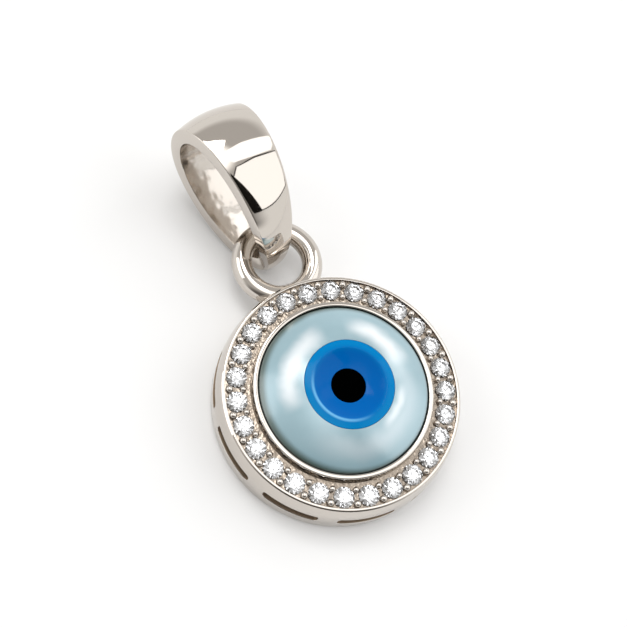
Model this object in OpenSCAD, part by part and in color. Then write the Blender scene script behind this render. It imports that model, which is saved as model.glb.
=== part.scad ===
// Eye pendant: a round slotted setting with a halo of cut stones, a pearl-shell dome
// with an inlaid iris and pupil, a soldered ring and a tapered bail that passes through it.
// The origin is the middle of the flat back. +Z comes out of the face, +Y points to the bail.

/* [Dome] */
// Radius of the dome at its girdle
dome_r = 5; // [4:0.1:6]
// Height of the whole round of the dome above its girdle
dome_rise = 1.37; // [1:0.05:2]
// Height of the straight girdle below the round
dome_girdle = 1.3; // [1:0.05:1.5]
// Clearance between the inlaid pieces and their seats
seat_gap = 0.02; // [0.01:0.005:0.04]
// How far the bezel's edge stands above the girdle of the dome
bezel_grip = 0.1; // [0.05:0.01:0.2]

/* [Iris] */
// How far the middle of the eye lies to the right of the dome's middle
eye_x = 0.05; // [-0.1:0.01:0.1]
// How far the middle of the eye lies above the dome's middle, seen from the front
eye_y = -0.07; // [-0.1:0.01:0.1]
// Radius of the iris
iris_r = 2.64; // [2:0.05:3]
// Depth of the pocket that holds the iris, below the edge of the iris
iris_depth = 1.2; // [1.1:0.05:1.4]
// Width of the rounded shoulder of the iris
iris_shoulder = 0.5; // [0.3:0.05:0.7]
// Depth of the dish inside the shoulder
iris_dish = 0.6; // [0.4:0.02:0.7]
// Radius of the pupil
pupil_r = 1.02; // [0.7:0.02:1.3]
// Depth of the pocket that holds the pupil
pupil_depth = 0.35; // [0.25:0.05:0.4]

/* [Stones] */
// Diameter of each stone
stone_d = 1.2; // [1:0.05:1.4]
// Least gap between neighbouring stones
stone_gap = 0.22; // [0.2:0.01:0.3]
// Radius of the table, as a share of the stone's radius
table_share = 0.55; // [0.5:0.01:0.65]
// Angle of the crown
crown_angle = 34; // [30:1:38]
// Angle of the pavilion
pavilion_angle = 41; // [39:0.5:43]
// Radius of the ring of star points, as a share of the stone's radius
star_share = 0.77; // [0.72:0.01:0.82]
// Radius of the ring of lower points, as a share of the stone's radius
low_share = 0.24; // [0.2:0.01:0.3]
// Thickness of the girdle
girdle_h = 0.03; // [0.02:0.005:0.05]
// Radius of each seat, as a share of the stone's radius
seat_share = 0.9; // [0.85:0.01:0.95]
// Angle of the first stone from the top, clockwise
first_stone = 5; // [0:0.5:13]

/* [Prongs] */
// Radius of the outer bead of each pair
outer_bead_r = 0.2; // [0.16:0.01:0.22]
// Radius of the inner bead of each pair
inner_bead_r = 0.175; // [0.14:0.005:0.2]
// Clearance between a bead and the stones beside it
bead_gap = 0.015; // [0.01:0.005:0.03]
// How far the inner beads reach in between the stones
bead_tuck = 0.08; // [0.05:0.01:0.1]
// Height of the middle of a bead above the channel floor
bead_rise = 0.12; // [0.1:0.01:0.13]

/* [Setting] */
// Height of the rim above the back
rim_h = 3.08; // [2.8:0.05:3.5]
// Width of the flat top of the rim
rim_w = 0.17; // [0.12:0.01:0.25]
// Clearance between the stones and the rim
rim_gap = 0.04; // [0.03:0.01:0.1]
// Depth of the channel floor below the rim
channel_depth = 0.23; // [0.2:0.01:0.28]
// Thickness of the channel floor
floor_t = 0.65; // [0.55:0.05:0.8]
// Bevel of the rim's outer edge
rim_edge = 0.03; // [0.02:0.01:0.05]
// How far the wall swells out below the rim
wall_swell = 0.33; // [0.2:0.01:0.45]
// Bevel of the foot's edge
foot_edge = 0.1; // [0.05:0.01:0.2]
// Thickness of the side wall at its foot
wall_t = 0.75; // [0.6:0.05:0.9]
// Thickness of the back plate
back_t = 0.5; // [0.4:0.05:0.6]
// Thickness of the bezel wall round the dome
bezel_t = 0.32; // [0.25:0.01:0.4]
// How far the foot of the bezel spreads over the channel floor
bezel_spread = 0.05; // [0.03:0.01:0.06]
// Height of the bevels on the bezel's edge
bezel_edge = 0.06; // [0.03:0.01:0.1]
// Height of the bezel's edge above the rim
bezel_rise = 0.34; // [0.2:0.02:0.5]
// Width of the ledge that the dome sits on
ledge_w = 0.6; // [0.4:0.05:0.9]
// Thickness of the ledge
ledge_t = 0.4; // [0.3:0.05:0.5]

/* [Slots] */
// Number of places for slots round the wall
slot_places = 10; // [8:1:12]
// Length of each slot along the wall
slot_len = 3.45; // [2.4:0.05:3.6]
// Height of each slot
slot_h = 0.72; // [0.5:0.02:0.8]
// Height of the lower edge of the slots above the back
slot_low = 1.18; // [0.9:0.02:1.2]
// Angle of the first slot place from the top, clockwise
slot_turn = 12; // [0:1:20]

/* [Ring] */
// Thickness of the ring's wire
ring_wire = 1.26; // [1:0.02:1.3]
// Inside diameter of the ring
ring_hole = 3.08; // [2.9:0.02:3.4]
// Height of the middle of the ring above the back
ring_z = 1.88; // [1.7:0.02:2]
// How far the middle of the wire sits inside the wall
ring_bite = 0.5; // [0.3:0.02:0.7]

/* [Bail] */
// Length of the bail's side outline
bail_len = 9.84; // [9:0.05:11]
// Depth of the front half of the outline
bail_front = 3.05; // [2.9:0.05:3.4]
// Depth of the back half of the outline
bail_back = 3.1; // [2.9:0.05:3.4]
// How much the front half swells towards the head
front_swell = 0.07; // [0:0.01:0.2]
// How much the back half swells towards the head
back_swell = 0.18; // [0:0.01:0.3]
// Thickness of the band at its edges
band_t = 0.85; // [0.6:0.05:0.9]
// Height of the band's crown between its edges
band_crown = 0.3; // [0.1:0.02:0.4]
// Width of the band at the foot
foot_w = 0.8; // [0.6:0.05:1.4]
// Width of the band at the head
head_w = 4.2; // [3.6:0.1:5]
// Power of the taper, where 1 is a straight one
taper = 0.57; // [0.5:0.01:1]
// Angle of the bail above the surface that it lies on
bail_pitch = 34; // [28:1:38]
// Roll of the bail about its own length
bail_roll = 8; // [0:1:12]
// Turn of the bail to the left of the ring's middle line
bail_yaw = 8.8; // [0:0.2:12]
// Slack between the band and the far side of the ring
bail_slack = 0.6; // [0.5:0.02:0.8]
// Distance of the foot to the left of the ring's middle
foot_left = 0.4; // [0:0.05:0.6]
// Clearance under the lowest point of the bail
floor_gap = 0.02; // [0.01:0.01:0.05]

/* [Hidden] */
$fn = 64;
// How far a cut runs past the surfaces that it goes through
cut = 0.2;
// The wall from the foot to the rim: height as a share of the rim's, and lean as a share of the swell
WALL = [[0.3, 0], [0.55, 0.15], [0.8, 0.45]];
// The bezel's top: where its flat starts, and where its outer bevel starts, as shares of its thickness
BEZEL_FLAT = 0.35;
BEZEL_BEVEL = 0.2;
// Least distance of a bead from the middle of its pair, in bead radii
PAIR_SHARE = 1.2;

stone_r = stone_d / 2;
channel_r0 = dome_r + bezel_t + seat_gap;
inner_room = inner_bead_r * 2 + bead_gap + sqrt(pow(stone_r, 2) - pow(inner_bead_r, 2));
halo_r = channel_r0 + inner_room - bead_tuck;
stone_count = floor(180 / asin((stone_d + stone_gap) / 2 / halo_r));
stone_pitch = 360 / stone_count;
channel_r1 = halo_r + stone_r + rim_gap;
rim_r = channel_r1 + rim_w;
foot_r = rim_r + wall_swell;
floor_z = rim_h - channel_depth;
under_z = floor_z - floor_t;
hollow_r = foot_r - wall_t;
bezel_z = rim_h + bezel_rise;
dome_z = bezel_z - bezel_grip;
round_r = (pow(dome_r, 2) + pow(dome_rise, 2)) / 2 / dome_rise;
round_z = dome_z + dome_rise - round_r;
ledge_z = dome_z - dome_girdle - seat_gap;

function two_digits(k) = k < 10 ? str("0", k) : str(k);
function stone_name(k) = str("stone_", two_digits(k));
function dome_top(r) = round_z + sqrt(pow(round_r, 2) - pow(r, 2));

// The iris: its edge lies flush with the round, and the dish starts inside the shoulder.
dish_r0 = iris_r - iris_shoulder;
dish_z0 = dome_top(dish_r0);
dish_z1 = dish_z0 - iris_dish;
dish_ball = (pow(dish_r0, 2) + pow(iris_dish, 2)) / 2 / iris_dish;
iris_z0 = dome_top(iris_r) - iris_depth;
pupil_z0 = dish_z1 - pupil_depth;

// The stones: the pavilion meets the edge of its seat just below the girdle.
crown_h = stone_r * (1 - table_share) * tan(crown_angle);
pavilion_h = stone_r * tan(pavilion_angle);
seat_r = stone_r * seat_share;
seat_drop = (stone_r - seat_r) * tan(pavilion_angle);
stone_z = floor_z + seat_drop + seat_gap + girdle_h / 2;

// The beads: each stands as far from both of its stones as its own radius and the gap.
bead_z = floor_z + bead_rise;
half_chord = halo_r * sin(stone_pitch / 2);
function bead_reach(r) = sqrt(max(pow(stone_r + r + bead_gap, 2) - pow(half_chord, 2), pow(r * PAIR_SHARE, 2)));
bead_mid = halo_r * cos(stone_pitch / 2);

// The ring and the slots: a place within reach of the ring keeps its wall. The outside of the
// ring meets the outside of the wall at ring_meet along Y, so ring_half to each side of it.
ring_r = (ring_hole + ring_wire) / 2;
ring_y = foot_r - ring_bite + ring_r;
ring_out = ring_r + ring_wire / 2;
ring_meet = (pow(ring_y, 2) + pow(foot_r, 2) - pow(ring_out, 2)) / 2 / ring_y;
ring_half = acos(ring_meet / foot_r);
slot_half = slot_len / 2 / foot_r * 180 / PI;
function turn_of(k) = (slot_turn + k * 360 / slot_places + 180) % 360 - 180;
slot_turns = [for (k = [0:slot_places - 1]) if (abs(turn_of(k)) > slot_half + ring_half) turn_of(k)];

// The bail: u runs round the outline, from the head over the front to the foot and back.
bail_a = bail_len / 2;
bail_rings = 64;
crown_steps = 6;
function depth(u) = sin(u) >= 0 ? bail_front : bail_back;
function swell(u) = sin(u) >= 0 ? front_swell : back_swell;
function out_s(u) = bail_a * cos(u);
function out_n(u) = depth(u) * sin(u) * (1 + swell(u) * cos(u));
function slope_s(u) = -bail_a * sin(u);
function slope_n(u) = depth(u) * (cos(u) * (1 + swell(u) * cos(u)) - swell(u) * pow(sin(u), 2));
function normal_len(u) = sqrt(pow(slope_s(u), 2) + pow(slope_n(u), 2));
function half_w(u) = (foot_w + (head_w - foot_w) * pow((1 + cos(u)) / 2, taper)) / 2;
function crown(w, u) = band_crown * (half_w(u) / (head_w / 2)) * (1 - pow(w / half_w(u), 2));
function band_point(u, w, h) = [
    w,
    out_s(u) + h * slope_n(u) / normal_len(u),
    out_n(u) - h * slope_s(u) / normal_len(u)
];
function band_section(u) = concat(
    [band_point(u, -half_w(u), -band_t)],
    [for (j = [0:crown_steps]) let (w = half_w(u) * (2 * j / crown_steps - 1)) band_point(u, w, crown(w, u))],
    [band_point(u, half_w(u), -band_t)]
);
section_size = crown_steps + 3;
band_points = [for (i = [0:bail_rings - 1]) each band_section(360 * i / bail_rings)];
function laid_z(p) = p.y * sin(bail_pitch) + (p.z * cos(bail_roll) - p.x * sin(bail_roll)) * cos(bail_pitch);
bail_z = floor_gap - min([for (p = band_points) laid_z(p)]);
foot_reach = (bail_a - band_t) * cos(bail_pitch);
bail_x = -foot_left - foot_reach * sin(bail_yaw);
bail_y = ring_y + ring_hole / 2 - bail_slack + foot_reach * cos(bail_yaw);

module at_turn(a, r, z) rotate([0, 0, -a]) translate([0, r, z]) children();

module dome_round() translate([0, 0, round_z]) sphere(r = round_r);

// One slot through the wall, as a sector of a flat ring
module slot_cut()
    rotate([0, 0, 90 - slot_half])
        rotate_extrude(angle = 2 * slot_half)
            translate([hollow_r - cut, slot_low]) square([wall_t + 2 * cut, slot_h]);

// The outside of the setting, without the ring
module setting_outline() polygon([
    [0, 0],
    [foot_r - foot_edge, 0],
    [foot_r, foot_edge],
    for (row = WALL) [foot_r - wall_swell * row[1], rim_h * row[0]],
    [rim_r, rim_h - rim_edge],
    [rim_r - rim_edge, rim_h],
    [channel_r1, rim_h],
    [channel_r1, floor_z],
    [channel_r0 + bezel_spread, floor_z],
    [channel_r0 - bezel_t * BEZEL_BEVEL, bezel_z - bezel_edge],
    [channel_r0 - bezel_t * BEZEL_FLAT, bezel_z],
    [channel_r0 - bezel_t * (1 - BEZEL_FLAT), bezel_z],
    [0, bezel_z]
]);

// The hollows: the gallery behind the slots, the seat of the dome and the well under it
module setting_hollows() {
    rotate_extrude()
        translate([channel_r0, back_t]) square([hollow_r - channel_r0, under_z - back_t]);
    translate([0, 0, ledge_z]) cylinder(r = dome_r + seat_gap, h = bezel_z - ledge_z + cut);
    translate([0, 0, back_t]) cylinder(r = dome_r - ledge_w, h = bezel_z);
    rotate_extrude()
        translate([0, back_t]) square([channel_r0 + cut, ledge_z - ledge_t - back_t]);
}

module prong_beads() for (k = [0:stone_count - 1]) let (a = first_stone + (k + 0.5) * stone_pitch) {
    at_turn(a, bead_mid + bead_reach(outer_bead_r), bead_z) sphere(r = outer_bead_r);
    at_turn(a, bead_mid - bead_reach(inner_bead_r), bead_z) sphere(r = inner_bead_r);
}

module setting() color("gainsboro") difference() {
    union() {
        rotate_extrude() setting_outline();
        translate([0, ring_y, ring_z]) rotate_extrude() translate([ring_r, 0]) circle(d = ring_wire);
        prong_beads();
    }
    setting_hollows();
    for (a = slot_turns) rotate([0, 0, -a]) slot_cut();
    for (k = [0:stone_count - 1])
        at_turn(first_stone + k * stone_pitch, halo_r, under_z - cut) cylinder(r = seat_r, h = floor_t + 2 * cut);
}

// The band is a closed run of sections, each with a flat inside and a crowned outside.
module bail() color("whitesmoke")
    translate([bail_x, bail_y, bail_z])
        rotate([bail_pitch, 0, bail_yaw]) rotate([0, bail_roll, 0])
            polyhedron(points = band_points, faces = [
                for (i = [0:bail_rings - 1]) for (j = [0:section_size - 1])
                    let (i2 = (i + 1) % bail_rings, j2 = (j + 1) % section_size)
                        [i * section_size + j, i * section_size + j2, i2 * section_size + j2, i2 * section_size + j]
            ]);

module at_eye(z) translate([eye_x, eye_y, z]) children();

module cabochon() color("lightblue") difference() {
    intersection() {
        dome_round();
        translate([0, 0, dome_z - dome_girdle]) cylinder(r = dome_r, h = dome_girdle + dome_rise + cut);
    }
    at_eye(iris_z0) cylinder(r = iris_r, h = iris_depth + dome_rise);
}

module iris() color("dodgerblue") difference() {
    intersection() {
        dome_round();
        at_eye(iris_z0 + seat_gap) cylinder(r = iris_r - seat_gap, h = iris_depth + dome_rise);
    }
    at_eye(dish_z1 + dish_ball) sphere(r = dish_ball);
    at_eye(pupil_z0) cylinder(r = pupil_r, h = pupil_depth + dome_rise);
}

module pupil() color("black") difference() {
    at_eye(pupil_z0 + seat_gap) cylinder(r = pupil_r - seat_gap, h = pupil_depth + iris_dish);
    at_eye(dish_z1 + dish_ball) sphere(r = dish_ball);
}

// A brilliant with eight mains: the star and lower points lie on the planes of the mains.
half_turn = 360 / 16;
star_r = stone_r * star_share;
crown_slope = tan(crown_angle);
star_z = crown_h - (star_r * cos(half_turn) - stone_r * table_share) * crown_slope;
low_r = stone_r * low_share;
low_z = -pavilion_h + low_r * cos(half_turn) * tan(pavilion_angle);
function eight(r, z, a) = [for (k = [0:7]) let (t = 2 * half_turn * k + a) [r * cos(t), r * sin(t), z]];
function sixteen(r, z) = [for (k = [0:15]) [r * cos(half_turn * k), r * sin(half_turn * k), z]];
brilliant_points = concat(
    eight(stone_r * table_share, girdle_h / 2 + crown_h, 0),
    eight(star_r, girdle_h / 2 + star_z, half_turn),
    sixteen(stone_r, girdle_h / 2),
    sixteen(stone_r, -girdle_h / 2),
    eight(low_r, low_z - girdle_h / 2, half_turn),
    [[0, 0, -pavilion_h - girdle_h / 2]]
);
// Where each ring of points starts in the list
star0 = 8;
top0 = star0 + 8;
base0 = top0 + 16;
low0 = base0 + 16;
culet = low0 + 8;
function next8(k) = (k + 1) % 8;
function prev8(k) = (k + 7) % 8;
brilliant_faces = concat(
    [[7, 6, 5, 4, 3, 2, 1, 0]],
    [for (k = [0:7]) [k, next8(k), star0 + k]],
    [for (k = [0:7]) [k, star0 + k, top0 + 2 * k]],
    [for (k = [0:7]) [k, top0 + 2 * k, star0 + prev8(k)]],
    [for (k = [0:7]) [star0 + k, top0 + 2 * k + 1, top0 + 2 * k]],
    [for (k = [0:7]) [star0 + k, top0 + (2 * k + 2) % 16, top0 + 2 * k + 1]],
    [for (k = [0:15]) [top0 + k, top0 + (k + 1) % 16, base0 + (k + 1) % 16, base0 + k]],
    [for (k = [0:7]) [base0 + 2 * k, base0 + 2 * k + 1, low0 + k]],
    [for (k = [0:7]) [base0 + 2 * k + 1, base0 + (2 * k + 2) % 16, low0 + k]],
    [for (k = [0:7]) [base0 + 2 * k, low0 + k, culet]],
    [for (k = [0:7]) [base0 + 2 * k, culet, low0 + prev8(k)]]
);

module stone(k) color("azure")
    at_turn(first_stone + (k - 1) * stone_pitch, halo_r, stone_z)
        polyhedron(points = brilliant_points, faces = brilliant_faces);

setting();
bail();
cabochon();
iris();
pupil();
for (k = [1:stone_count]) stone(k);
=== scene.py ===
"""The looks of the eye pendant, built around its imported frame."""

import math

import bmesh
import bpy
from bpy.props import FloatProperty, FloatVectorProperty, PointerProperty
from mathutils import Matrix, Vector


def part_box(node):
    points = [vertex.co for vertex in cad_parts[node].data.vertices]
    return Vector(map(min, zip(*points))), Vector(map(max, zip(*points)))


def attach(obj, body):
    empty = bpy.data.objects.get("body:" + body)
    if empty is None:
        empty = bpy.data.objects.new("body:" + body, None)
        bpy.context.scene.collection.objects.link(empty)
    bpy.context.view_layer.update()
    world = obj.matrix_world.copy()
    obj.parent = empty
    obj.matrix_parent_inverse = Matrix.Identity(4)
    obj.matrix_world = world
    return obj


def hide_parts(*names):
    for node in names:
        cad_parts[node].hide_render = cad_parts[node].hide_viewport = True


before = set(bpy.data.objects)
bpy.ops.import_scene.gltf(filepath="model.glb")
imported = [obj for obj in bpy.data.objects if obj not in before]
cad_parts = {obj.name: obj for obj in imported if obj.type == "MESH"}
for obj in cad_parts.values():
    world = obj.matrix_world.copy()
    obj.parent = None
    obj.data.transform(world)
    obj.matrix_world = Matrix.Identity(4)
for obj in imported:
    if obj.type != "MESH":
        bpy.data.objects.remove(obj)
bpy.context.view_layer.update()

bl_info = {
    "name": "Eye Pendant Looks",
    "version": (1, 0, 0),
    "blender": (4, 5, 0),
    "location": "View3D > Sidebar > Pendant",
    "description": "Builds the metal, shell, glass and stones of an eye pendant around its frame",
    "category": "Object",
}

MM = 0.001
# The frame's one body, on which every piece rides
BODY = "root"
STONES = sorted(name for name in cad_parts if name.startswith("stone_"))
# Clearance between every inlaid piece and its seat
SEAT_GAP = 0.02 * MM
# The finishes of the setting's surfaces, in the order of its material slots
POLISHED, CUT, CAST = 0, 1, 2
# Points round the dome and its inlays
AROUND = 256


def linear(code):
    """The linear colour of an sRGB hex code."""
    shares = [int(code[k:k + 2], 16) / 255 for k in (0, 2, 4)]
    return [s / 12.92 if s <= 0.04045 else ((s + 0.055) / 1.055) ** 2.4 for s in shares]


def half_width(node):
    """Half of a node's width in the frame."""
    low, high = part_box(node)
    return (high.x - low.x) / 2


def middle(node):
    """The middle of a node, seen from above."""
    low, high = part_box(node)
    return ((low + high) / 2).xy


def stone_axis(node):
    """The point of a stone's culet, which lies on the stone's axis."""
    return min((v.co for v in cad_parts[node].data.vertices), key=lambda co: co.z).copy()


def stone_radius(node):
    """The radius of a stone's girdle."""
    axis = stone_axis(node).xy
    return max((v.co.xy - axis).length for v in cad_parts[node].data.vertices)


class PendantDome(bpy.types.PropertyGroup):
    """Sizes of the shell dome and its inlays"""

    rise: FloatProperty(
        name="Rise", description="Height of the whole round above the dome's girdle",
        default=1.37 * MM, unit="LENGTH")
    girdle: FloatProperty(
        name="Girdle", description="Height of the straight girdle below the round",
        default=1.3 * MM, unit="LENGTH")
    edge: FloatProperty(
        name="Edge", description="Radius of the rounded edge between the round and the girdle",
        default=0.24 * MM, unit="LENGTH")
    iris_depth: FloatProperty(
        name="Iris depth", description="Depth of the pocket that holds the iris",
        default=1.2 * MM, unit="LENGTH")
    shoulder: FloatProperty(
        name="Shoulder", description="Width of the rounded shoulder of the iris",
        default=0.5 * MM, unit="LENGTH")
    shoulder_edge: FloatProperty(
        name="Shoulder edge", description="Radius where the shoulder turns into the dish",
        default=0.16 * MM, unit="LENGTH")
    dish: FloatProperty(
        name="Dish", description="Depth of the dish inside the shoulder",
        default=0.6 * MM, unit="LENGTH")
    pupil_depth: FloatProperty(
        name="Pupil depth", description="Depth of the pocket that holds the pupil",
        default=0.35 * MM, unit="LENGTH")
    inlay_edge: FloatProperty(
        name="Inlay edge", description="Radius of the polished edges of the inlays",
        default=0.01 * MM, unit="LENGTH")


class PendantSetting(bpy.types.PropertyGroup):
    """Sizes of the metal setting"""

    rim_height: FloatProperty(
        name="Rim height", description="Height of the rim above the back",
        default=3.08 * MM, unit="LENGTH")
    rim_width: FloatProperty(
        name="Rim width", description="Width of the flat top of the rim",
        default=0.17 * MM, unit="LENGTH")
    rim_gap: FloatProperty(
        name="Rim gap", description="Clearance between the stones and the rim",
        default=0.04 * MM, unit="LENGTH")
    channel: FloatProperty(
        name="Channel depth", description="Depth of the channel floor below the rim",
        default=0.23 * MM, unit="LENGTH")
    floor: FloatProperty(
        name="Floor", description="Thickness of the channel floor",
        default=0.65 * MM, unit="LENGTH")
    wall: FloatProperty(
        name="Wall", description="Thickness of the side wall at its foot",
        default=0.75 * MM, unit="LENGTH")
    back: FloatProperty(
        name="Back", description="Thickness of the back plate",
        default=0.5 * MM, unit="LENGTH")
    bezel: FloatProperty(
        name="Bezel", description="Thickness of the wall round the dome",
        default=0.32 * MM, unit="LENGTH")
    ledge_width: FloatProperty(
        name="Ledge width", description="Width of the ledge under the dome",
        default=0.6 * MM, unit="LENGTH")
    ledge: FloatProperty(
        name="Ledge", description="Thickness of the ledge under the dome",
        default=0.4 * MM, unit="LENGTH")
    slot_turn: FloatProperty(
        name="Slot turn", description="Angle of the first slot place from the top",
        default=math.radians(12), unit="ROTATION")
    slot_length: FloatProperty(
        name="Slot length", description="Length of each slot along the wall",
        default=3.45 * MM, unit="LENGTH")
    slot_height: FloatProperty(
        name="Slot height", description="Height of each slot",
        default=0.72 * MM, unit="LENGTH")
    slot_low: FloatProperty(
        name="Slot place", description="Height of the slots' lower edge above the back",
        default=1.18 * MM, unit="LENGTH")
    slot_corner: FloatProperty(
        name="Slot corner", description="Radius of the slots' rounded ends",
        default=0.22 * MM, unit="LENGTH")
    swell_start: FloatProperty(
        name="Swell start", description="Height above the back where the wall starts to lean in",
        default=0.9 * MM, unit="LENGTH")
    swell_power: FloatProperty(
        name="Swell power", description="Power of the wall's curve, where 1 is a straight cone",
        default=2.2)
    foot_edge: FloatProperty(
        name="Foot edge", description="Radius of the edge round the back",
        default=0.1 * MM, unit="LENGTH")
    rim_bevel: FloatProperty(
        name="Rim bevel", description="Width of the bevel outside the rim's flat top",
        default=0.06 * MM, unit="LENGTH")
    edge: FloatProperty(
        name="Edge", description="Radius of the fine polished edges",
        default=0.02 * MM, unit="LENGTH")
    bezel_edge: FloatProperty(
        name="Bezel edge", description="Radius of the two edges of the wall round the dome",
        default=0.1 * MM, unit="LENGTH")
    bezel_spread: FloatProperty(
        name="Bezel spread", description="How far the foot of the wall round the dome spreads",
        default=0.05 * MM, unit="LENGTH")
    seat_share: FloatProperty(
        name="Seat share", description="Radius of each stone's seat, as a share of the stone's",
        default=0.9, subtype="FACTOR")
    outer_bead: FloatProperty(
        name="Outer bead", description="Radius of the outer bead of each pair",
        default=0.22 * MM, unit="LENGTH")
    inner_bead: FloatProperty(
        name="Inner bead", description="Radius of the inner bead of each pair",
        default=0.19 * MM, unit="LENGTH")
    bead_gap: FloatProperty(
        name="Bead gap", description="Clearance between a bead and its stones",
        default=0.015 * MM, unit="LENGTH")
    bead_rise: FloatProperty(
        name="Bead rise", description="Height of a bead's middle above the floor",
        default=0.12 * MM, unit="LENGTH")
    ring_wire: FloatProperty(
        name="Ring wire", description="Thickness of the ring's wire",
        default=1.26 * MM, unit="LENGTH")
    ring_hole: FloatProperty(
        name="Ring hole", description="Inside diameter of the ring",
        default=3.08 * MM, unit="LENGTH")
    ring_height: FloatProperty(
        name="Ring height", description="Height of the ring's middle above the back",
        default=1.88 * MM, unit="LENGTH")


class PendantBail(bpy.types.PropertyGroup):
    """Sizes and the lie of the bail"""

    length: FloatProperty(
        name="Length", description="Length of the side outline",
        default=9.84 * MM, unit="LENGTH")
    front: FloatProperty(
        name="Front", description="Depth of the front half of the outline",
        default=3.05 * MM, unit="LENGTH")
    back: FloatProperty(
        name="Back", description="Depth of the back half of the outline",
        default=3.1 * MM, unit="LENGTH")
    front_swell: FloatProperty(
        name="Front swell", description="How much the front half swells to the head",
        default=0.07, subtype="FACTOR")
    back_swell: FloatProperty(
        name="Back swell", description="How much the back half swells to the head",
        default=0.18, subtype="FACTOR")
    band: FloatProperty(
        name="Band", description="Thickness of the band at its edges",
        default=0.85 * MM, unit="LENGTH")
    crown: FloatProperty(
        name="Crown", description="Height of the crown between the edges",
        default=0.3 * MM, unit="LENGTH")
    foot: FloatProperty(
        name="Foot", description="Width of the band at the foot",
        default=0.8 * MM, unit="LENGTH")
    head: FloatProperty(
        name="Head", description="Width of the band at the head",
        default=4.2 * MM, unit="LENGTH")
    taper: FloatProperty(
        name="Taper", description="Power of the taper, where 1 is a straight one",
        default=0.57)
    edge: FloatProperty(
        name="Edge", description="Radius of the band's edges",
        default=0.06 * MM, unit="LENGTH")
    pitch: FloatProperty(
        name="Pitch", description="Angle above the surface that it lies on",
        default=math.radians(34), unit="ROTATION")
    roll: FloatProperty(
        name="Roll", description="Roll about its own length",
        default=math.radians(8), unit="ROTATION")
    yaw: FloatProperty(
        name="Yaw", description="Turn to the left of the ring's middle line",
        default=math.radians(8.8), unit="ROTATION")


class PendantFinish(bpy.types.PropertyGroup):
    """Colours of the finishes"""

    metal: FloatVectorProperty(
        name="Metal", description="Reflection of the polished metal",
        default=linear("CDC6BE"), size=3, subtype="COLOR")
    cut_metal: FloatVectorProperty(
        name="Cut metal", description="Reflection of the graver-cut channel floor",
        default=linear("8A8075"), size=3, subtype="COLOR")
    cast_metal: FloatVectorProperty(
        name="Cast metal", description="Reflection of the metal as cast, inside the gallery",
        default=linear("95836F"), size=3, subtype="COLOR")
    shell: FloatVectorProperty(
        name="Shell", description="Body colour of the shell",
        default=linear("83A3AE"), size=3, subtype="COLOR")
    shell_light: FloatVectorProperty(
        name="Shell light", description="Pale growth layers of the shell",
        default=linear("93B2BC"), size=3, subtype="COLOR")
    # Painted highlight colour: the pale colour laid on the shell as painted sheens
    shell_painted_sheen: FloatVectorProperty(
        name="Shell sheen", description="Sheen of the shell's layers",
        default=linear("EEF2F5"), size=3, subtype="COLOR")
    # Painted shade: the colour that the shell darkens to near its girdle
    shell_painted_shade: FloatVectorProperty(
        name="Shell edge", description="Shade of the shell where it dips into its seat",
        default=linear("3C544F"), size=3, subtype="COLOR")
    # Painted shade: the colour of a dark line painted on the shell inside its seat
    shell_painted_seat_shade: FloatVectorProperty(
        name="Shell seat", description="Dark line of the shell inside its seat",
        default=linear("0E1614"), size=3, subtype="COLOR")
    iris: FloatVectorProperty(
        name="Iris", description="Colour of the iris",
        default=linear("005CA8"), size=3, subtype="COLOR")
    iris_shoulder: FloatVectorProperty(
        name="Iris shoulder", description="Colour of the iris's shoulder, where the glass is thin",
        default=linear("0076B4"), size=3, subtype="COLOR")
    # Painted highlight colour: the pale blue of the painted glint on the iris
    iris_painted_glint: FloatVectorProperty(
        name="Iris glint", description="Glint on the edge of the iris's shoulder",
        default=linear("7CC4EC"), size=3, subtype="COLOR")
    pupil: FloatVectorProperty(
        name="Pupil", description="Colour of the pupil",
        default=linear("010101"), size=3, subtype="COLOR")
    stone: FloatVectorProperty(
        name="Stone", description="Tint of the cut stones",
        default=linear("DADBDD"), size=3, subtype="COLOR")


class PendantStudio(bpy.types.PropertyGroup):
    """The camera and the studio's light"""

    azimuth: FloatProperty(
        name="Azimuth", description="Turn of the camera round the pendant",
        default=math.radians(-51.4), unit="ROTATION")
    elevation: FloatProperty(
        name="Elevation", description="Height of the camera above the floor",
        default=math.radians(65.66), unit="ROTATION")
    tilt: FloatProperty(
        name="Tilt", description="Turn of the camera about its own line of sight",
        default=math.radians(28.73), unit="ROTATION")
    distance: FloatProperty(
        name="Distance", description="Distance of the camera from its aim",
        default=58.76 * MM, unit="LENGTH")
    aim: FloatVectorProperty(
        name="Aim", description="The point that the camera looks at",
        default=(0.303 * MM, 4.867 * MM, 3.08 * MM), size=3, subtype="XYZ", unit="LENGTH")
    lens: FloatProperty(
        name="Lens", description="Focal length on a 36 mm sensor, in millimetres",
        default=57.4)
    room: FloatVectorProperty(
        name="Room", description="Colour of the studio's walls",
        default=linear("D0CECB"), size=3, subtype="COLOR")
    front: FloatVectorProperty(
        name="Front", description="Colour of the unlit side of the studio, in front of the pendant",
        default=linear("666360"), size=3, subtype="COLOR")
    horizon: FloatVectorProperty(
        name="Horizon", description="Colour of the studio just above the floor",
        default=linear("F4F4F3"), size=3, subtype="COLOR")
    ceiling: FloatVectorProperty(
        name="Ceiling", description="Colour of the studio overhead",
        default=linear("FCFCFC"), size=3, subtype="COLOR")
    front_turn: FloatProperty(
        name="Front turn", description="Turn of the middle of the unlit side",
        default=math.radians(-30), unit="ROTATION")
    light: FloatProperty(
        name="Light", description="Strength of all the softboxes together",
        default=1.0)


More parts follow.
